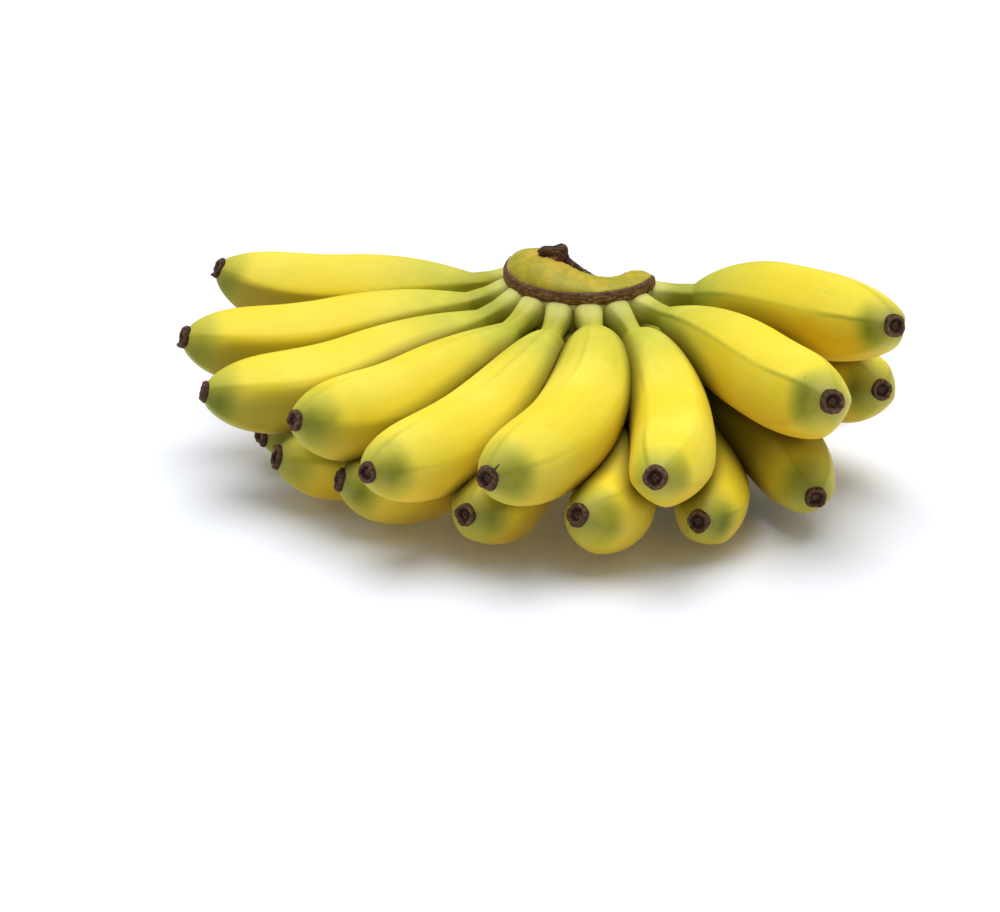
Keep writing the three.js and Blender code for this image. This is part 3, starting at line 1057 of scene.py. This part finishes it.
def makeBlossomEnd(name, number, finger, spineAt, bodyLength, drop):
    rows = blossom["outline"]
    chance = random.Random(number)
    seed = Vector((chance.uniform(0, 50), chance.uniform(0, 50), chance.uniform(0, 50)))
    turn = chance.uniform(0, 90)
    lean = Vector((chance.uniform(-0.5, 0.5), chance.uniform(-0.5, 0.5), 0)) * mm
    size = chance.uniform(0.92, 1.06)

    def reachAt(ring, angle):
        a = math.radians(angle + turn)
        n = blossom["squareness"]
        # Half way between a circle and a rounded square.
        square = 1 / (abs(math.cos(a)) ** n + abs(math.sin(a)) ** n) ** (1 / n)
        return rows[ring][1] * (1 + (square - 1) * 0.5) * size * mm

    bm = makeTube(blossom["sides"], [bodyLength + row[0] * mm for row in rows], reachAt)
    layers = {"rim": bm.verts.layers.float.new("rim"), "unbent": bm.verts.layers.float_vector["unbent"]}
    for vert in bm.verts:
        x, y, length = vert.co / mm
        depth = length - bodyLength / mm
        row = min(rows, key=lambda r: abs(r[0] - depth) + abs(r[1] - math.hypot(x, y)))
        vert[layers["rim"]] = row[2]
        rough = noise.noise_vector(vert.co / mm * 0.55 + seed)
        rough += 0.5 * noise.noise_vector(vert.co / mm * 1.6 + seed)
        vert.co += rough * (blossom["ragged"] * fade(depth, 0.2, 1.5) + blossom["roughness"]) * mm
        around = math.atan2(y, x)
        if depth > blossom["leanFrom"]:
            wave = noise.noise(seed + Vector((math.cos(around) * 1.4, math.sin(around) * 1.4, 0)))
            vert.co.z += wave * blossom["wave"] * mm
            vert.co += lean * (depth - blossom["leanFrom"])
        vert[layers["unbent"]] = vert.co + seed * mm
    if finger["bristle"]:
        addBristle(bm, bodyLength, layers)
    bendAlong(bm, spineAt)
    bmesh.ops.translate(bm, vec=(0, 0, -drop), verts=bm.verts)
    addPiece(name + "_blossom_end", bm, blossomMaterial)


def makeFinger(name, number, own, rootHeight, pressing):
    finger = {**usualFinger, **own}
    spineAt, bodyLength, drop = makePeel(name, number, finger, rootHeight, pressing)
    makeBlossomEnd(name, number, finger, spineAt, bodyLength, drop)


# Front fingers are made first, so that those behind give way to them.
def makeRow(row, fingers, rootHeight, pressing):
    numbers = sorted(range(len(fingers)), key=lambda i: fingers[i]["tip"][1])
    for i in numbers:
        makeFinger(f"{row}_banana_{i + 1}", len(pressing) + 1, fingers[i], rootHeight, pressing)
    print(row + " bananas made")


peels = []
pressing = []
makeRow("upper", upperFingers, banana["upperRoot"], pressing)
makeRow("lower", lowerFingers, banana["lowerRoot"], pressing)


# Painted shade: the nearer another finger lies, the darker and greener the skin is painted, as if that
# finger shaded it.
def paintContactShade():
    reach = banana["contactShadeReach"] * mm
    for piece in peels:
        others = [tree for other, tree in zip(peels, pressing) if other is not piece]
        marks = piece.data.attributes["contactShade"].data
        for vert in piece.data.vertices:
            near = reach
            if marks[vert.index].value > 0:
                for tree in others:
                    found, normal, face, distance = tree.find_nearest(vert.co, near)
                    if found is not None:
                        near = distance
            marks[vert.index].value *= 1 - fade(near / reach, 0.05, 1)
    print("touches marked")


paintContactShade()


def makeFloor():
    bm = bmesh.new()
    bmesh.ops.create_grid(bm, x_segments=1, y_segments=1, size=studio["floorSize"])
    mesh = bpy.data.meshes.new("floor")
    bm.to_mesh(mesh)
    bm.free()
    material, tree, paint = newMaterial("pale_floor")
    path = addNode(tree, "ShaderNodeLightPath").outputs["Is Camera Ray"]
    shade = mixColour(tree, path, studio["floorBounce"], studio["floorSeen"])
    tree.links.new(shade, paint.inputs["Base Color"])
    paint.inputs["Emission Color"].default_value = studio["floorGlow"]
    glow = mapValue(tree, path, 0.0, 1.0, *studio["glow"])
    tree.links.new(glow, paint.inputs["Emission Strength"])
    paint.inputs["Roughness"].default_value = studio["floorRoughness"]
    paint.inputs["Specular IOR Level"].default_value = studio["floorSpecular"]
    mesh.materials.append(material)
    floor = bpy.data.objects.new("floor", mesh)
    bpy.context.scene.collection.objects.link(floor)


# The suns together make one wide soft source.
def makeLights():
    for number, (back, side, power, width) in enumerate(studio["suns"]):
        name = f"soft_overhead_{number + 1}"
        sun = bpy.data.objects.new(name, bpy.data.lights.new(name, "SUN"))
        sun.data.energy = power
        sun.data.angle = math.radians(width)
        sun.rotation_euler = (math.radians(back), math.radians(side), 0)
        bpy.context.scene.collection.objects.link(sun)
    world = bpy.data.worlds.new("studio")
    world.use_nodes = True
    tree = world.node_tree
    path = addNode(tree, "ShaderNodeLightPath").outputs["Is Camera Ray"]
    strength = mapValue(tree, path, 0.0, 1.0, studio["ambient"], studio["backdrop"])
    tint = mixColour(tree, path, studio["ambientTint"], (1, 1, 1, 1))
    tree.links.new(tint, tree.nodes["Background"].inputs["Color"])
    tree.links.new(strength, tree.nodes["Background"].inputs["Strength"])
    bpy.context.scene.world = world
    bpy.context.scene.view_settings.view_transform = "Standard"


makeFloor()
makeLights()
print("stage made")
